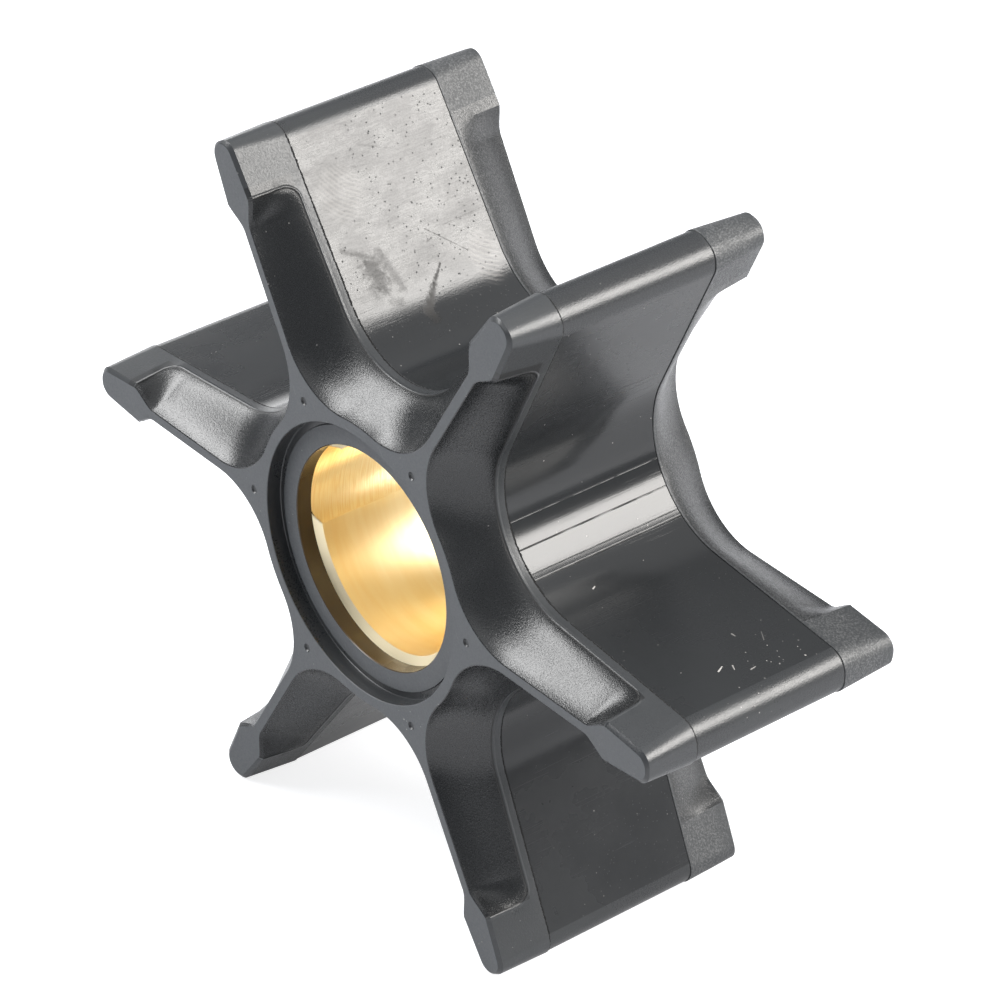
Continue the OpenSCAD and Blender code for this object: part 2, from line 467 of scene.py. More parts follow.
@dataclass(frozen=True)
class RubberFinish:
    """One finish of the black rubber. A strength of 0 leaves its layer out."""

    name: str
    level: float = 0.022
    warm: float = -0.06
    rough: float = 0.42
    specular: float = 0.5
    grain: float = 0.0
    grain_size: float = 0.16
    front_grain: float = 1.0
    rim_grain: float = 1.0
    rim_rough: float = 0.0
    worn: float = 0.55
    depth: float = 0.075
    scratch: float = 0.0
    specks: float = 0.0
    pits: float = 0.0
    lines: float = 0.0
    seam: float = 0.0
    crest: bool = False
    handled: bool = False
    upper_wall: Wall = Wall(120, -1)
    right_wall: Wall = Wall(0, 1)
    films: tuple[Mark, ...] = (
        Mark((18.9, 1.25), (16.0, -1.5), 0.14, 0.7, 0.85, 1.0),
        Mark((16.6, -1.1), (15.4, -1.3), 0.45, 0.65, 0.7, 1.0),
        Mark((21.74, 1.05), (19.12, 3.93), 0.07, 0.05, 0.5, 0.8),
        Mark((20.77, 0.89), (20.9, 1.35), 0.11, 0.08, 0.5, 0.9),
        Mark((21.5, 2.74), (21.64, 6.7), 0.06, 0.05, 0.25, 0.9),
        Mark((22.38, -6.3), (20.9, -3.7), 0.42, 0.4, 0.28, 0.9),
        Mark((21.4, -3.4), (18.4, -2.6), 0.55, 0.75, 0.34, 0.9),
        Mark((20.3, -4.3), (19.2, -4.2), 1.6, 1.3, 0.45, 0.8),
        Mark((17.63, -3.9), (17.4, -3.1), 0.5, 0.5, 0.28, 0.9),
        Mark((29.2, -1.6), (28.3, 0.5), 0.14, 0.08, 0.15, 0.9),
    )
    prints: tuple[tuple[Point, Point, Point, float], ...] = (
        ((26.4, -4.6), (30.5, -0.5), (2.6, 2.4), 0.34),
        ((18.3, 5.2), (24.0, 9.0), (2.6, 1.6), 0.36),
    )
    draws: tuple[Point, ...] = ((25.4, 1.0), (18.7, 0.4), (17.0, 0.8), (34.1, 0.5))
    crumbs: tuple[Mark, ...] = (
        Mark((28.93, -1.8), (28.67, -1.25), 0.09, 0.06, 1.0),
        Mark((28.99, -0.53), (29.4, -0.7), 0.07, 0.05, 0.7),
        Mark((30.04, 0.3), (29.99, 0.75), 0.07, 0.05, 0.7),
        Mark((27.29, 3.7), (28.1, 3.25), 0.035, 0.05, 0.25),
        Mark((26.3, 1.75), (26.6, 1.8), 0.08, 0.05, 0.5),
        Mark((31.0, 4.6), (31.06, 4.62), 0.07, 0.07, 0.9),
        Mark((17.0, -3.45), (16.9, -3.2), 0.08, 0.06, 1.0),
    )
    dusty: tuple[tuple[Triple, float], ...] = (
        ((9.6, -11.8, -6.7), 1.9), ((6.4, -11.8, -10.9), 2.0), ((10.6, -11.8, 3.4), 1.5),
        ((-7.3, -11.8, -12.6), 1.3), ((29.5, 3.2, 2.0), 2.6), ((31.6, -1.5, 1.3), 2.6),
    )

    def tone(self, gain: float) -> Colour:
        """Returns the finish's colour made lighter or darker."""
        return grey(self.level * gain, self.warm)

    def build(self, edges: Edges) -> bpy.types.Material:
        """Makes the material, layer on layer.

        Args:
            edges: Where the moulding's edges run.

        Returns:
            The material.
        """
        s = Surface(self.name)
        cloud = s.noise(9.0, 4, 0.6)
        coat = Coat(s, edges, s.mix(cloud, self.tone(0.86), self.tone(1.16)),
                    cloud.ramp(0.3, 0.7, self.rough - 0.03, self.rough + 0.04),
                    [(s.noise(5.0, 3, 0.5), 0.25, 0.05)])
        for wanted, lay in ((self.lines, self.streaks), (self.pits, self.wall_skin),
                            (self.handled, self.handling), (self.scratch, self.scratches),
                            (self.grain, self.sand), (self.specks, self.dust),
                            (self.crest, self.crest_line), (self.seam, self.parting)):
            if wanted:
                lay(coat)
        return s.finish(coat.colour, coat.rough, coat.relief, Specular_IOR_Level=self.specular)

    def streaks(self, coat: Coat) -> None:
        """Lays the fine marks along the bore, and the polish near the pocket's floor.

        Args:
            coat: The layers so far.
        """
        s, radius = coat.s, coat.s.radius()
        coat.rough = coat.rough * radius.ramp(15.5, 21.5, 0.58, 1.0)
        marks = s.noise(0.12, 2, 0.6, s.stretched((1.0, 0.016, 1.0))).ramp(0.58, 0.74)
        marks = marks * s.noise(3.0, 2, 0.5, s.stretched((1.0, 0.3, 1.0))).ramp(0.42, 0.62)
        marks = marks * radius.ramp(18.0, 24.0, 1.0, 0.35) * radius.ramp(14.6, 17.5, 0.3, 1.0)
        coat.roughen(marks * (0.3 * self.lines))
        coat.sink(marks, 0.6 * self.lines, 0.012)

    def wall_skin(self, coat: Coat) -> None:
        """Lays the pits, and the mottled skin of the upper vane's bright wall, whose lighter colour is partly
        painted sheen.

        Args:
            coat: The layers so far.
        """
        s, wall = coat.s, coat.s.on_wall(self.upper_wall)
        dense = s.noise(2.6, 2, 0.6) * 0.75 + s.y.ramp(-6.0, 6.0) * 0.25
        hole = s.dots(0.42, 0.1, 0.18) * dense.ramp(0.36, 0.54) * (wall * 0.75 + 0.1)
        skin = s.noise(0.15, 3, 0.75) * 0.5 + s.noise(0.11, 2, 0.7, s.stretched((1.0, 0.09, 1.0))) * 0.5
        patch = s.noise(2.4, 4, 0.65, s.stretched((1.0, 0.6, 1.0), 20))
        coat.roughen(hole * self.pits)
        coat.roughen(patch.ramp(0.4, 0.62, -0.03, 0.05) * wall)
        # Mottled skin colour, lighter than the rubber elsewhere: real mottling, and partly painted sheen of
        # this brightly lit wall.
        shade = s.mix(skin.ramp(0.4, 0.6), grey(0.003), grey(0.1, 0.02))
        shade = s.mix(patch.ramp(0.36, 0.6) * 0.4, shade, grey(0.04, 0.05))
        shade = s.mix(hole, shade, grey(0.002))
        coat.paint(wall * s.radius().ramp(17.0, 20.0) * 0.85, shade)
        coat.relief.append((skin * wall, 0.35, 0.03))
        coat.sink(hole, 0.6 * self.pits, 0.015)

    def handling(self, coat: Coat) -> None:
        """Lays the smears, the finger prints and the drawn lines.

        Args:
            coat: The layers so far.
        """
        s = coat.s
        ragged = (s.noise(0.35, 3, 0.7) - 0.5) * 1.9
        film = s.marks(self.upper_wall, self.films, ragged) * s.noise(0.5, 3, 0.7).ramp(0.3, 0.5, 0.6, 1.0)
        prints = strongest(s.ridges(self.upper_wall.degrees, *one) for one in self.prints)
        prints = prints * s.on_wall(self.upper_wall)
        draws = []
        for degrees, strength in self.draws:
            along, across = s.on_vane(degrees)
            draws.append(abs(across).ramp(0.025, 0.075, 1, 0) * along.ramp(13.0, 13.5) * strength)
        broken = s.noise(0.6, 3, 0.6, s.stretched((1.0, 0.25, 1.0))).ramp(0.35, 0.55, 0.4, 1.0)
        draw = strongest(draws) * broken
        coat.roughen(film * 0.42)
        coat.roughen(prints * 0.05)
        coat.roughen(draw * 0.5)
        coat.sink(draw, 0.6, 0.03)
        coat.paint(draw, DARK_LINE_AND_SHADE)
        coat.paint(prints * 0.6, grey(0.2, 0.04))
        coat.paint(film * 0.9, grey(0.012, 0.2))

    def scratches(self, coat: Coat) -> None:
        """Lays two sets of crossing grinding scratches.

        Args:
            coat: The layers so far.
        """
        s = coat.s
        one = s.noise(0.09, 1, 0.4, s.stretched((1.0, 1.0, 0.05), 24)).ramp(0.66, 0.8)
        other = s.noise(0.12, 1, 0.4, s.stretched((0.04, 1.0, 1.0), -52)).ramp(0.7, 0.82)
        cut = (one * s.noise(2.2, 2).ramp(0.45, 0.65)).most(other * s.noise(1.7, 2).ramp(0.5, 0.65))
        coat.paint(cut * self.scratch, grey(self.level * 2.6, -0.02))
        coat.sink(cut, 0.3 * self.scratch, 0.01)

    def sand(self, coat: Coat) -> None:
        """Lays the sandy grain, calmer at the front and on the relief's rim, paler at the rear.

        Args:
            coat: The layers so far.
        """
        s = coat.s
        fine = s.noise(self.grain_size, 2, 0.7)
        bumps = fine * 0.7 + s.noise(self.grain_size * 2.2, 2, 0.6) * 0.3
        amount = s.y.ramp(-7.5, 6.5, self.front_grain, 1.0) * self.grain
        if self.rim_grain < 1:
            rim = s.relief_edge(coat.edges).ramp(0.0, 0.1) * s.y.ramp(4.0, 5.0, 1, 0)
            amount = amount * (1 - rim * (1 - self.rim_grain))
            coat.roughen(rim * self.rim_rough)
        coat.relief.append((bumps * amount, 1.0, self.depth))
        coat.paint(fine.ramp(0.52, 0.74) * amount * self.worn, self.tone(2.6))
        coat.roughen(fine.ramp(0.3, 0.6, 0.08, -0.04))
        rear = s.y.ramp(6.4, 7.4) * s.y.ramp(9.5, 11.5, 1.0, 0.3)
        coat.paint(fine.ramp(0.42, 0.66) * rear * 0.6, grey(0.13, -0.01))
        coat.roughen(rear * 0.13)

    def dust(self, coat: Coat) -> None:
        """Lays pale dust: sparse everywhere, thick at a few spots, crumbs on the right vane.

        Args:
            coat: The layers so far.
        """
        s = coat.s
        sparse = (s.dots(1.15, 0.035, 0.06) * s.noise(3.1, 2).ramp(0.43, 0.56)).most(
            s.dots(0.7, 0.04, 0.075) * s.noise(1.6, 2).ramp(0.55, 0.64) * 0.7)
        near = strongest(s.spot(centre, reach) for centre, reach in self.dusty)
        thick = s.dots(0.9, 0.05, 0.1).most(s.dots(0.6, 0.06, 0.1)) * near
        dust = (sparse * self.specks).most(thick * 0.75)
        if self.handled:
            dust = dust.most(s.marks(self.right_wall, self.crumbs))
        coat.paint(dust, grey(0.42, 0.04))
        coat.roughen(dust * 0.3)

    def crest_line(self, coat: Coat) -> None:
        """Lays the crest along the relief's edge, with a thin near-black line of painted shade in the crease
        beside it.

        Args:
            coat: The layers so far.
        """
        away = coat.s.relief_edge(coat.edges)
        groove_shade = (1 - abs(away + 0.06) * 12.0).clamp()
        coat.relief.append(((1 - abs(away - 0.1) * 6.0).clamp().ramp(0, 1), 0.8, 0.06))
        # Painted shade: the crease beside the crest is coloured near-black and made rougher.
        coat.paint(groove_shade, DARK_LINE_AND_SHADE)
        coat.roughen(groove_shade * 0.35)
        coat.roughen(away.ramp(-2.0, -0.4) * away.ramp(-0.05, 0.05, 0.07, 0.02))

    def parting(self, coat: Coat) -> None:
        """Lays the ragged parting line: a shallow sunk line coloured near-black, painted shade of the step
        there.

        Args:
            coat: The layers so far.
        """
        line = coat.s.seam(coat.edges.parting, self.seam)
        # Painted shade: the sunk parting line is coloured near-black for the shadow at the step.
        coat.paint(line, DARK_LINE_AND_SHADE)
        coat.roughen(line * 0.6)
        coat.sink(line, 0.7, 0.04)


@dataclass(frozen=True)
class BrassFinish:
    """Brass with a bored wall, a broached drive slot, a bright chamfer at each end and a painted shadow at
    the slot's front edge.
    """

    name: str = "turned_brass"
    colour: Colour = (1.0, 0.86, 0.56)
    deep: Colour = (0.94, 0.75, 0.41)
    chamfer_colour: Colour = (0.97, 0.85, 0.58)
    burr_shadow_colour: Colour = (0.06, 0.045, 0.02)
    burr_shadow_edge: Point = (-9.05, -8.98)
    rough: float = 0.4

    def build(self, insert: "HubInsert") -> bpy.types.Material:
        """Makes the material.

        Args:
            insert: The sleeve, whose sizes tell the slot and the chamfers from the bore.

        Returns:
            The material.
        """
        s = Surface(self.name)
        end = abs(s.y)
        start = insert.length / 2 - insert.chamfer
        steepness = (insert.mouth_r - insert.bore_r) / insert.chamfer
        wall = (end - start).most(0.0) * steepness + insert.bore_r
        slot = (s.radius() - wall).ramp(0.03, 0.08)
        chamfer = end.ramp(start - 0.03, start + 0.02) * (1 - slot)
        out, across = s.on_vane(insert.slot_angle)
        turn = across.atan2(out - insert.slot_offset)
        slanted = s.value("ShaderNodeCombineXYZ", None, {
            0: s.y + turn * (0.5 * insert.slot_r), 1: turn * (0.06 * insert.slot_r)})
        strokes = s.noise(0.13, 2, 0.65, slanted)
        feed = s.noise(0.14, 2, 0.6, s.stretched((0.02, 1.0, 0.02)))
        waves = s.noise(1.6, 3, 0.55, s.stretched((0.15, 1.0, 0.15)))
        tint = waves.ramp(0.3, 0.7) * (1 - slot) + strokes.ramp(0.35, 0.62) * slot
        # Painted shadow: a ragged dark band in the gap where the slot meets the back of the rubber lip.
        burr_shadow = slot * (s.y + s.noise(0.35, 2, 0.6) * 0.4).ramp(*self.burr_shadow_edge, 1, 0)
        colour = s.mix(tint, self.deep, self.colour)
        colour = s.mix(chamfer, colour, self.chamfer_colour)
        colour = s.mix(burr_shadow, colour, self.burr_shadow_colour)
        rough = waves.ramp(0.3, 0.7, self.rough - 0.02, self.rough + 0.03) - slot * 0.04 + burr_shadow * 0.3
        relief = [(feed * (1 - slot) + strokes * slot * 6.0, 0.35, 0.008)]
        return s.finish(colour, rough, relief, Metallic=1.0)


# Mesh helpers


class Shell:
    """A mesh being put together from points and faces, with a zone for each face."""

    def __init__(self) -> None:
        """Starts empty."""
        self.points: list[Vector] = []
        self.faces: list[tuple[int, ...]] = []
        self.zones: list[int] = []

    def ring(self, points: Iterable[Triple]) -> list[int]:
        """Adds a row of points in millimetres.

        Args:
            points: The points.

        Returns:
            Their numbers.
        """
        start = len(self.points)
        self.points.extend(Vector(p) * MM for p in points)
        return list(range(start, len(self.points)))

    def skin(self, a: Sequence[int], b: Sequence[int], zones: Zone | Sequence[Zone],
             closed: bool = False) -> None:
        """Joins two rows of equal length by four-sided faces.

        Args:
            a: First row.
            b: Second row.
            zones: Zone of all the faces, or of each.
            closed: True where the rows run all the way round.
        """
        n = len(a)
        for i in range(n if closed else n - 1):
            j = (i + 1) % n
            self.face((a[i], a[j], b[j], b[i]), zones if isinstance(zones, Zone) else zones[i])

    def face(self, corners: tuple[int, ...], zone: Zone) -> None:
        """Adds one face."""
        self.faces.append(corners)
        self.zones.append(zone.value)

    def mesh(self, name: str) -> bpy.types.Mesh:
        """Makes the mesh, with its zones in an attribute.

        Args:
            name: The mesh's name.

        Returns:
            The mesh.
        """
        mesh = bpy.data.meshes.new(name)
        mesh.from_pydata([tuple(p) for p in self.points], [], self.faces)
        mesh.attributes.new("zone", "INT", "FACE").data.foreach_set("value", self.zones)
        mesh.update()
        return mesh


def place_piece(mesh: bpy.types.Mesh) -> bpy.types.Object:
    """Adds an object at the origin that shows a mesh and has its name.

    Args:
        mesh: The mesh.

    Returns:
        The object.
    """
    piece = bpy.data.objects.new(mesh.name, mesh)
    bpy.context.collection.objects.link(piece)
    return piece


def trim_piece(piece: bpy.types.Object, crease: float) -> None:
    """Turns the normals outwards, smooths the faces, marks sharp edges and reports the piece.

    Args:
        piece: The piece.
        crease: Angle in degrees from which an edge is sharp.
    """
    bm = bmesh.new()
    bm.from_mesh(piece.data)
    bmesh.ops.dissolve_degenerate(bm, edges=bm.edges, dist=1e-8)
    bmesh.ops.recalc_face_normals(bm, faces=bm.faces)
    for face in bm.faces:
        face.smooth = True
    for edge in bm.edges:
        edge.smooth = len(edge.link_faces) == 2 and edge.calc_face_angle(0.0) < math.radians(crease)
    loose = sum(len(edge.link_faces) != 2 for edge in bm.edges)
    bm.to_mesh(piece.data)
    bm.free()
    LOG.info("%s: %d faces, %d open edges", piece.name, len(piece.data.polygons), loose)


# Rubber vane wheel


@dataclass(frozen=True)
class End:
    """One end of the moulding: -1 for the front or 1 for the rear, its length and its plain band."""

    sign: int
    land: float
    band: float


@dataclass
class VaneWheel:
    """The rubber moulding: one vane sector built by rule, repeated round the bore axis."""

    body_len: float = 23.6
    tip_r: float = 33.0
    tip_half: float = 1.77
    slope: float = 0.1
    corner_r: float = 1.7
    mid_inset: float = 0.06
    floor_r: float = 14.4
    front: End = End(-1, 4.6, 0.8)
    rear: End = End(1, 5.0, 0.2)
    bulb_half: float = 1.27
    bulb_corner_r: float = 1.1
    bulb_inset: float = 0.12
    bulb_len: float = 4.8
    flare_len: float = 2.4
    web_half: float = 0.43
    web_fillet: float = 6.5
    ring_r: float = 12.15
    bevel: float = 0.25
    lean: float = 0.3
    curve_start: float = 0.58
    curve_end: float = 0.25
    keep: float = 0.7
    draft: float = 0.2
    edge_round: float = 0.06
    mouth_r: float = 11.2
    mouth_depth: float = 1.15
    band_r: float = 10.6
    band_h: float = 0.15
    lip_r: float = 9.0
    insert_depth: float = 2.5
    insert_r: float = 11.6
    insert_edge: float = 0.3
    dimple_circle: float = 12.8
    dimple_r: float = 0.36
    dimple_depth: float = 0.15
    crease: float = 16
    weld: float = 2e-6
    steps: dict[str, int] = field(default_factory=lambda: {
        "tip": 12, "side": 4, "flare": 16, "web": 8, "root": 18, "floor": 5, "relief": 16, "hub": 32,
        "dimple": 20})
    zone_finish: dict[Zone, RubberFinish] = field(default_factory=lambda: {
        Zone.WALL: RubberFinish("moulded_wall", rough=0.26, specular=0.44, pits=0.6, lines=0.5, handled=True,
                                specks=0.6, seam=0.09),
        Zone.LAND: RubberFinish("eroded_land", level=0.042, rough=0.31, grain=0.9, front_grain=0.3,
                                depth=0.065, specks=0.3, seam=0.09, crest=True),
        Zone.RELIEF: RubberFinish("eroded_relief", level=0.015, rough=0.21, specular=0.6, grain=0.8,
                                  grain_size=0.12, front_grain=0.8, rim_grain=0.35, rim_rough=0.1, worn=0.3,
                                  depth=0.045, specks=0.35, crest=True),
        Zone.FACE: RubberFinish("ground_face", level=0.082, rough=0.5, grain=0.1, scratch=0.35, specks=0.4),
        Zone.MOUTH: RubberFinish("hub_mouth", level=0.032, rough=0.32, grain=0.08, specks=0.1),
        # The lip's inner wall is coloured warm brown.
        Zone.LIP: RubberFinish("brown_lip", level=0.035, warm=0.5, rough=0.24),
        Zone.TIP: RubberFinish("worn_tip", level=0.03, rough=0.3, grain=0.3, grain_size=0.12, specks=0.3,
                               seam=0.05),
    })

    def edges(self) -> Edges:
        """Returns where the front parting line, the front relief and the shoulders run."""
        parting = self.front.land - self.body_len / 2
        return Edges(parting, parting - self.front.band, self.tip_r - self.bulb_len)

    def wedge(self, tip_half: float, u: float) -> float:
        """Returns a vane's half thickness at a distance from the bore axis."""
        return tip_half + self.slope * (self.tip_r - u)

    def outlines(self) -> tuple[list[Point], list[Point], list[float]]:
        """Works out one vane's half outline twice.

        Returns:
            The points at the parting line, the matching points on the end face, and each point's
            place on the flare: below zero on the bulb, 1 at its shoulder, 0 from the web inwards.
        """
        n = self.steps
        shoulder = self.tip_r - self.bulb_len
        web = shoulder - self.flare_len
        half = 180 / VANES
        c, s = polar(1, half)
        norm = math.hypot(1, self.slope)
        gain = (s + self.slope * c) / norm
        base = (self.tip_half + self.slope * self.tip_r) / norm
        dist = (self.floor_r - base) / (1 - gain)
        radius = dist - self.floor_r
        turn = 270 - math.degrees(math.atan(self.slope))
        fv = self.web_half + self.web_fillet
        fu = math.sqrt((self.ring_r + self.web_fillet) ** 2 - fv * fv)
        fend = 180 + math.degrees(math.atan2(fv, fu))
        outer: list[Point] = []
        inner: list[Point] = []
        for tip_half, r, inset, points in ((self.tip_half, self.corner_r, 0.0, outer),
                                           (self.bulb_half, self.bulb_corner_r, self.bulb_inset, inner)):
            u = self.tip_r - inset - r
            centre = (u, self.wedge(tip_half, u) - r * norm)
            points += [polar(r, min(90 * i / n["tip"], turn - 180), centre) for i in range(n["tip"] + 1)]
            last = points[-1][0]
            for i in range(1, n["side"] + 1):
                u = blend(last, shoulder, i / n["side"])
                points.append((u, self.wedge(tip_half, u)))
        place = [-2.0] * (n["tip"] + 1) + [-1.0] * n["side"]
        for i in range(1, n["flare"] + 1):
            x = 1 - i / n["flare"]
            u = web + (self.flare_len - self.lean) * x
            rise = x * x * (2.2 - 1.2 * x)
            outer.append((u, self.wedge(self.tip_half, u)))
            inner.append((web + self.flare_len * x,
                          blend(self.web_half, self.wedge(self.bulb_half, shoulder), rise)))
            place.append(x)
        centre = polar(dist, half)
        root_u = polar(radius, turn, centre)[0]
        for i in range(1, n["web"] + 1):
            t = i / (n["web"] + 1)
            u = blend(web, root_u, t)
            outer.append((u, self.wedge(self.tip_half, u)))
            inner.append((blend(web, fu, t), self.web_half))
        share, sweep = 0.85, turn - 180 - half
        for i in range(n["root"] + 1):
            outer.append(polar(radius, turn - share * sweep * i / n["root"], centre))
            inner.append(polar(self.web_fillet, 270 - (270 - fend) * i / n["root"], (fu, fv)))
        for i in range(1, n["floor"] + 1):
            t = i / n["floor"]
            outer.append(polar(radius, turn - (share + (1 - share) * t) * sweep, centre))
            inner.append(polar(self.ring_r, blend(fend - 180, half, t)))
        return outer, inner, place + [0.0] * (len(outer) - len(place))

    def cove(self, t: float) -> float:
        """Returns the share of the relief's curve at the share t of its depth."""
        return ((t ** 3 - 2 * t * t + t) * self.curve_start + (3 - 2 * t) * t * t
                + (t ** 3 - t * t) * self.curve_end)

    def half_outline(self, end: End, depth: float, bevel: float = 0.0) -> list[Point]:
        """Works out the half outline at a depth below the end face.

        Args:
            end: The end.
            depth: Depth in millimetres.
            bevel: Amount by which the bulb is narrowed.

        Returns:
            The points from the tip to the pocket floor.
        """
        t = min(depth / (end.land - end.band), 1)
        points = []
        for p, q, k in zip(*self.outlines()):
            if k < 0:
                s = depth / end.land
            else:
                s = self.cove(t) ** (1 + self.keep * k) * (1 - self.draft * (1 - depth / end.land))
            u, v = blend(q[0], p[0], s), blend(q[1], p[1], s)
            points.append((u - (bevel / 2 if k < -1.5 else 0), v - bevel * (1 if k < 0 else k)))
        return points

    def shrunk(self, half: list[Point], amount: float) -> list[Point]:
        """Moves a half outline inwards along its normals.

        Args:
            half: The outline.
            amount: Distance in millimetres.

        Returns:
            The moved outline.
        """
        out = []
        for (u, v), a, b in zip(half, half[:1] + half, half[1:]):
            du, dv = b[0] - a[0], b[1] - a[1]
            size = math.hypot(du, dv) or 1
            out.append((u - dv / size * amount, v + du / size * amount))
        u, v = half[-1]
        r = math.hypot(u, v)
        return out + [(u * (r - amount) / r, v * (r - amount) / r)]

    def inset_outline(self) -> list[Point]:
        """Returns the half outline of the middle zone, below the end zones by the step."""
        step = self.mid_inset
        outer = replace(self, tip_half=self.tip_half - step, floor_r=self.floor_r - step).outlines()[0]
        return [(u - (step if i <= self.steps["tip"] else 0), v) for i, (u, v) in enumerate(outer)]

    def end_zone(self, shell: Shell, end: End) -> tuple[list[list[int]], list[Zone]]:
        """Adds the rows of one end zone, from the end face to the step at the parting line.

        Args:
            shell: The mesh being built.
            end: The end.

        Returns:
            The rows, and the zone of each strip between them.
        """
        count, edge = self.steps["relief"], self.edge_round * 0.8
        levels = [(0.0, self.shrunk(self.half_outline(end, 0, self.bevel), self.edge_round)),
                  (edge, self.half_outline(end, edge, self.bevel * 0.9))]
        depths = [blend(self.bevel, end.land - end.band, (k / count) ** 0.9) for k in range(count + 1)]
        levels += [(depth, self.half_outline(end, depth)) for depth in depths + [end.land - 0.03]]
        levels += [(end.land, self.shrunk(self.half_outline(end, end.land), 0.02)),
                   (end.land, self.inset_outline())]
        rows = []
        for depth, half in levels:
            y = end.sign * (self.body_len / 2 - depth)
            rows.append(shell.ring([(u, y, -v) for u, v in reversed(half)] + [(u, y, v) for u, v in half]))
        return rows, [Zone.RELIEF] * (count + 2) + [Zone.LAND] * 3

    def column_zones(self, strip: Zone, width: int) -> list[Zone]:
        """Works out the zone of each face of a strip.

        Args:
            strip: The strip's zone. The bulb's sides are never relief, and the tips wear.
            width: Number of points of a half outline.

        Returns:
            The zones.
        """
        tip, side = self.steps["tip"], self.steps["side"]
        zones = [strip] * (2 * width - 1)
        for i in range(len(zones)):
            from_tip = abs(i - width + 0.5) - 0.5
            if strip is Zone.WALL and from_tip < tip:
                zones[i] = Zone.TIP
            elif strip is Zone.RELIEF and from_tip < tip + side:
                zones[i] = Zone.LAND
        return zones

    def sector(self) -> bpy.types.Mesh:
        """Builds one vane with its share of the hub, open at both sides of the sector.

        Returns:
            The mesh.
        """
        shell = Shell()
        front, front_zones = self.end_zone(shell, self.front)
        rear, rear_zones = self.end_zone(shell, self.rear)
        rows = front + rear[::-1]
        for a, b, strip in zip(rows, rows[1:], front_zones + [Zone.WALL] + rear_zones[::-1]):
            shell.skin(a, b, self.column_zones(strip, len(a) // 2))
        shell.skin(self.hub(shell, -1), self.hub(shell, 1), Zone.MOUTH)
        self.cap(shell, front[0], -1)
        self.cap(shell, rear[0], 1)
        return shell.mesh("vane_sector")

    def hub(self, shell: Shell, sign: int) -> list[int]:
        """Builds the counterbore, the lip and the insert's seat at one end.

        Args:
            shell: The mesh being built.
            sign: -1 for the front end, 1 for the rear.

        Returns:
            The last row, on the seat.
        """
        mouth, band, lip, seat = self.mouth_r, self.band_r, self.lip_r, self.insert_r
        high, low, deep = self.mouth_depth + self.band_h, self.mouth_depth, self.insert_depth
        profile = [
            (mouth + 0.05, 0.0, Zone.FACE), (mouth, 0.05, Zone.MOUTH), (mouth, high - 0.05, Zone.MOUTH),
            (mouth - 0.05, high, Zone.MOUTH), (band + 0.03, high, Zone.MOUTH),
            (band, high - 0.03, Zone.MOUTH), (band, low + 0.03, Zone.MOUTH),
            (band - 0.03, low, Zone.FACE), (lip + 0.06, low, Zone.LIP),
            (lip, low + 0.06, Zone.LIP), (lip, deep, Zone.MOUTH), (seat - self.insert_edge, deep, Zone.MOUTH),
            (seat, deep + self.insert_edge, Zone.MOUTH),
        ]
        rows = []
        for radius, depth, _ in profile:
            points = self.arc(radius, -180 / VANES)
            rows.append(shell.ring((u, sign * (self.body_len / 2 - depth), v) for u, v in points))
        for a, b, (_, _, zone) in zip(rows, rows[1:], profile):
            shell.skin(a, b, zone)
        return rows[-1]

    def arc(self, radius: float, start: float) -> list[Point]:
        """Returns the points of the hub's arc from an angle to its opposite."""
        count = self.steps["hub"]
        return [polar(radius, blend(start, -start, i / count)) for i in range(count + 1)]

    def cap(self, shell: Shell, rim: list[int], sign: int) -> None:
        """Fills an end face between the outline and the counterbore, around its dimple.

        Args:
            shell: The mesh being built.
            rim: The outline's points.
            sign: -1 for the front end, 1 for the rear.
        """
        y, at, n = sign * self.body_len / 2, self.dimple_circle, self.steps["dimple"]
        loop = [(shell.points[i].x / MM, shell.points[i].z / MM) for i in rim]
        loop += self.arc(self.mouth_r + 0.05, 180 / VANES)
        dimple = [polar(self.dimple_r, 360 * i / n, (at, 0.0)) for i in range(n)]
        edges = [(i, (i + 1) % len(loop)) for i in range(len(loop))]
        edges += [(len(loop) + i, len(loop) + (i + 1) % n) for i in range(n)]
        flat, _, faces, *_ = delaunay_2d_cdt([Vector(p) for p in loop + dimple], edges, [], 1, 1e-6)
        row = shell.ring((p.x, y, p.y) for p in flat)
        for f in faces:
            centre = sum((flat[i] for i in f), Vector((0, 0))) / len(f)
            if (centre - Vector((at, 0))).length > self.dimple_r * 0.97:
                shell.face(tuple(row[i] for i in f), Zone.FACE)
        top = shell.ring((u, y, v) for u, v in dimple)
        deep = sign * self.dimple_depth
        low = shell.ring((at + (u - at) * 0.75, y - deep * 0.8, v * 0.75) for u, v in dimple)
        bottom = shell.ring([(at, y - deep, 0.0)])[0]
        shell.skin(top, low, Zone.MOUTH, closed=True)
        for i in range(n):
            shell.face((low[i], low[(i + 1) % n], bottom), Zone.MOUTH)

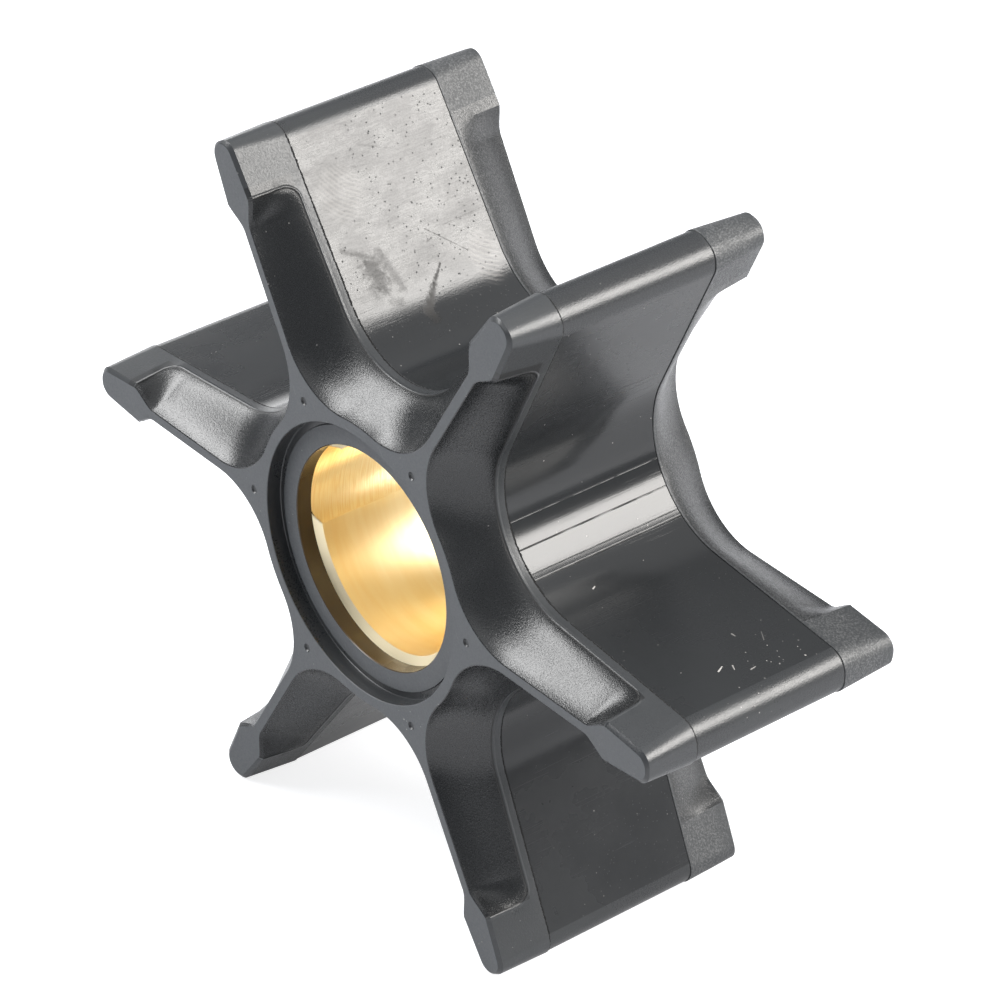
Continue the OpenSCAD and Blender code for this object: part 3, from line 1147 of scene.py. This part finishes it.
    def array_tree(self) -> bpy.types.GeometryNodeTree:
        """Builds the node tree that repeats the sector and dresses its zones.

        Returns:
            The tree, with inputs Sector, Vane Count and Weld Distance.
        """
        tree = bpy.data.node_groups.new("vane_array", "GeometryNodeTree")
        for name, way, kind in (("Sector", "INPUT", "Geometry"), ("Vane Count", "INPUT", "Int"),
                                ("Weld Distance", "INPUT", "Float"), ("Wheel", "OUTPUT", "Geometry")):
            tree.interface.new_socket(name, in_out=way, socket_type="NodeSocket" + kind)
        g = Graph(tree)
        start = g.add("NodeGroupInput")
        sector, count, weld = (g.signal(start, k) for k in range(3))
        turn = g.value("GeometryNodeInputIndex") * (-2 * math.pi / count)
        copies = g.value("GeometryNodeInstanceOnPoints", None, {
            "Points": g.value("GeometryNodePoints", None, {"Count": count}), "Instance": sector,
            "Rotation": g.value("ShaderNodeCombineXYZ", None, {"Y": turn})})
        solid = g.value("GeometryNodeRealizeInstances", None, {0: copies})
        wheel = g.value("GeometryNodeMergeByDistance", None, {"Geometry": solid, "Distance": weld})
        zone = g.value("GeometryNodeInputNamedAttribute", {"data_type": "INT"}, {"Name": "zone"})
        for kind, finish in self.zone_finish.items():
            same = g.value("FunctionNodeCompare", {"data_type": "INT", "operation": "EQUAL"},
                           {2: zone, 3: kind.value})
            wheel = g.value("GeometryNodeSetMaterial", None, {
                "Geometry": wheel, "Selection": same, "Material": finish.build(self.edges())})
        g.add("NodeGroupOutput", None, {0: wheel})
        return tree

    def build(self) -> bpy.types.Object:
        """Builds the wheel, dresses it and puts it in the CAD node's place.

        Returns:
            The piece.
        """
        source = place_piece(self.sector())
        modifier = source.modifiers.new("array", "NODES")
        modifier.node_group = self.array_tree()
        values = {"Vane Count": VANES, "Weld Distance": self.weld}
        for item in modifier.node_group.interface.items_tree:
            if item.name in values:
                modifier[item.identifier] = values[item.name]
        depsgraph = bpy.context.evaluated_depsgraph_get()
        mesh = bpy.data.meshes.new_from_object(source.evaluated_get(depsgraph), depsgraph=depsgraph)
        bpy.data.objects.remove(source)
        mesh.name = "vane_wheel_rubber"
        piece = place_piece(mesh)
        trim_piece(piece, self.crease)
        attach(piece, "root")
        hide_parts("rubber_vane_wheel")
        return piece


# Brass insert


@dataclass
class HubInsert:
    """The slotted brass sleeve in the hub."""

    length: float = 18.6
    outer_r: float = 11.6
    outer_edge: float = 0.3
    bore_r: float = 8.35
    mouth_r: float = 9.0
    chamfer: float = 0.4
    slot_r: float = 4.3
    slot_offset: float = 6.1
    slot_angle: float = 163.0
    crease: float = 28
    columns: int = 240
    chamfer_rows: int = 6
    bore_rows: int = 24
    finish: BrassFinish = BrassFinish()

    def slot_reach(self, degrees: float) -> float:
        """Works out how far the drive slot reaches from the bore axis.

        Args:
            degrees: Direction.

        Returns:
            The reach, or 0 away from the slot.
        """
        out, across = polar(self.slot_offset, degrees - self.slot_angle)
        inside = self.slot_r ** 2 - across ** 2
        return out + math.sqrt(inside) if inside > 0 and out > 0 else 0.0

    def angles(self) -> list[float]:
        """Works out the directions of the mesh's columns, with the slot's edges among them.

        Returns:
            The directions in degrees.
        """
        bore, offset = self.bore_r, self.slot_offset
        edge = math.degrees(math.acos((bore ** 2 + offset ** 2 - self.slot_r ** 2) / (2 * bore * offset)))
        out = [360 * i / self.columns for i in range(self.columns)]
        marks = [self.slot_angle - edge, self.slot_angle + edge]
        for mark in marks:
            out = [a for a in out if abs((a - mark + 180) % 360 - 180) > 0.75]
        return sorted(a % 360 for a in out + marks)

    def profile(self) -> list[Point]:
        """Works out the bore's rows from the front end to the rear.

        Returns:
            Each row's place along the bore and radius.
        """
        half, n = self.length / 2, self.chamfer_rows
        front = [(-half + self.chamfer * k / n, blend(self.mouth_r, self.bore_r, k / n))
                 for k in range(n + 1)]
        inner = half - self.chamfer
        middle = [(blend(-inner, inner, k / self.bore_rows), self.bore_r) for k in range(1, self.bore_rows)]
        return front + middle + [(-y, r) for y, r in reversed(front)]

    def build(self) -> bpy.types.Object:
        """Builds the sleeve, dresses it and puts it in the CAD node's place.

        Returns:
            The piece.
        """
        shell = Shell()
        half, edge = self.length / 2, self.outer_edge
        angles = self.angles()
        outside = [(half, self.outer_r - edge), (half - edge, self.outer_r), (edge - half, self.outer_r),
                   (-half, self.outer_r - edge)]
        rings = []
        for y, r, inner in [(*row, True) for row in self.profile()] + [(*row, False) for row in outside]:
            points = [polar(max(r, self.slot_reach(a)) if inner else r, a) for a in angles]
            rings.append(shell.ring((u, y, v) for u, v in points))
        for a, b in zip(rings, rings[1:] + rings[:1]):
            shell.skin(a, b, Zone.WALL, closed=True)
        piece = place_piece(shell.mesh("hub_insert_brass"))
        trim_piece(piece, self.crease)
        piece.data.materials.append(self.finish.build(self))
        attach(piece, "root")
        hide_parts("brass_hub_insert")
        return piece


# Stage


@dataclass(frozen=True)
class Softbox:
    """A soft lamp that looks at the wheel: its direction and half spread in degrees."""

    name: str
    azimuth: float
    elevation: float
    spread: Point
    radiance: float
    colour: Colour = WHITE
    distance: float = 0.6

    def build(self) -> None:
        """Adds the lamp, with the power that gives its radiance."""
        lamp = bpy.data.lights.new(self.name, "AREA")
        lamp.shape = "RECTANGLE"
        lamp.size, lamp.size_y = (2 * self.distance * math.tan(math.radians(v)) for v in self.spread)
        lamp.energy = math.pi * lamp.size * lamp.size_y * self.radiance
        lamp.color = self.colour
        holder = bpy.data.objects.new(self.name, lamp)
        bpy.context.collection.objects.link(holder)
        level, height = polar(1, self.elevation)
        way = Vector((*polar(level, self.azimuth), height))
        holder.location = way * self.distance
        holder.rotation_euler = way.to_track_quat("Z", "Y").to_euler()


@dataclass
class Studio:
    """Floor, backdrop, lamps and camera."""

    azimuth: float = 50.479
    elevation: float = 33.509
    roll: float = 0.773
    distance: float = 363.027
    focal_px: float = 4824.951
    shift: Point = (1.401, 0.714)
    floor_z: float = CAD_BOX[0][2] / MM
    floor_reach: float = 900.0
    floor_colour: Colour = (0.485, 0.495, 0.52)
    floor_glow: float = 0.78
    floor_mirrored: float = 0.3
    sky: Colour = (0.9, 0.94, 1.0)
    sky_strength: float = 0.26
    boxes: tuple[Softbox, ...] = (
        Softbox("right_box", 38, 34, (16, 15), 17.5, (1.0, 0.975, 0.94)),
        Softbox("left_box", -150, 44, (26, 13), 11.2),
        Softbox("rear_left_strip", 158, 5, (8, 12), 3.0),
        Softbox("rear_strip", 66, 5, (8, 9), 1.2),
        Softbox("top_box", 0, 88, (38, 38), 0.7),
    )

    def build(self) -> None:
        """Builds the whole stage."""
        self.world()
        self.floor()
        for box in self.boxes:
            box.build()
        self.camera()

    def world(self) -> None:
        """Builds surroundings that are white to the camera and plain light otherwise."""
        world = bpy.data.worlds.new("studio")
        bpy.context.scene.world = world
        world.use_nodes = True
        g = Graph(world.node_tree)
        path = g.add("ShaderNodeLightPath")
        seen = (g.signal(path, "Is Camera Ray") + g.signal(path, "Is Transmission Ray")).clamp()
        light, white = (g.value("ShaderNodeBackground", None, {"Color": colour, "Strength": strength})
                        for colour, strength in ((self.sky, self.sky_strength), (WHITE, 1.0)))
        both = g.value("ShaderNodeMixShader", None, {0: seen, 1: light, 2: white})
        g.add("ShaderNodeOutputWorld", None, {0: both})

    def floor(self) -> None:
        """Builds the pale floor, which keeps the wheel's soft shadow."""
        shell, r = Shell(), self.floor_reach
        row = shell.ring((x, y, self.floor_z) for x, y in ((-r, -r), (r, -r), (r, r), (-r, r)))
        shell.face(tuple(row), Zone.WALL)
        mesh = shell.mesh("studio_floor")
        s = Surface("floor_paper")
        path = s.add("ShaderNodeLightPath")
        seen = s.signal(path, "Is Camera Ray").most(s.signal(path, "Is Glossy Ray") * self.floor_mirrored)
        paper = s.value("ShaderNodeBsdfDiffuse", None, {"Color": self.floor_colour})
        glow = s.value("ShaderNodeEmission", None, {"Color": WHITE, "Strength": self.floor_glow})
        both = s.value("ShaderNodeAddShader", None, {0: paper, 1: glow})
        mixed = s.value("ShaderNodeMixShader", None, {0: seen, 1: paper, 2: both})
        s.add("ShaderNodeOutputMaterial", None, {0: mixed})
        mesh.materials.append(s.material)
        place_piece(mesh)

    def camera(self) -> None:
        """Places the camera at the photograph's viewing angle."""
        az, el, roll = (math.radians(v) for v in (self.azimuth, self.elevation, self.roll))
        back = Vector((math.cos(el) * math.sin(az), -math.cos(el) * math.cos(az), math.sin(el)))
        level = Vector((math.cos(az), math.sin(az), 0.0))
        upright = back.cross(level)
        right = level * math.cos(roll) + upright * math.sin(roll)
        up = upright * math.cos(roll) - level * math.sin(roll)
        spot = (back * self.distance + right * self.shift[0] + up * self.shift[1]) * MM
        data = bpy.data.cameras.new("camera")
        data.sensor_width, data.sensor_fit = SENSOR_MM, "HORIZONTAL"
        data.lens = self.focal_px / PHOTO_PX * SENSOR_MM
        data.clip_start, data.clip_end = 0.01, 10.0
        camera = bpy.data.objects.new("camera", data)
        camera.matrix_world = Matrix.Translation(spot) @ Matrix((right, up, back)).transposed().to_4x4()
        bpy.context.collection.objects.link(camera)
        bpy.context.scene.camera = camera


def main() -> None:
    """Builds the wheel, the insert and the stage."""
    logging.basicConfig(level=logging.INFO, format="%(name)s: %(message)s")
    bpy.context.scene.view_settings.view_transform = "Standard"
    VaneWheel().build()
    HubInsert().build()
    Studio().build()


if __name__ == "__main__":
    main()
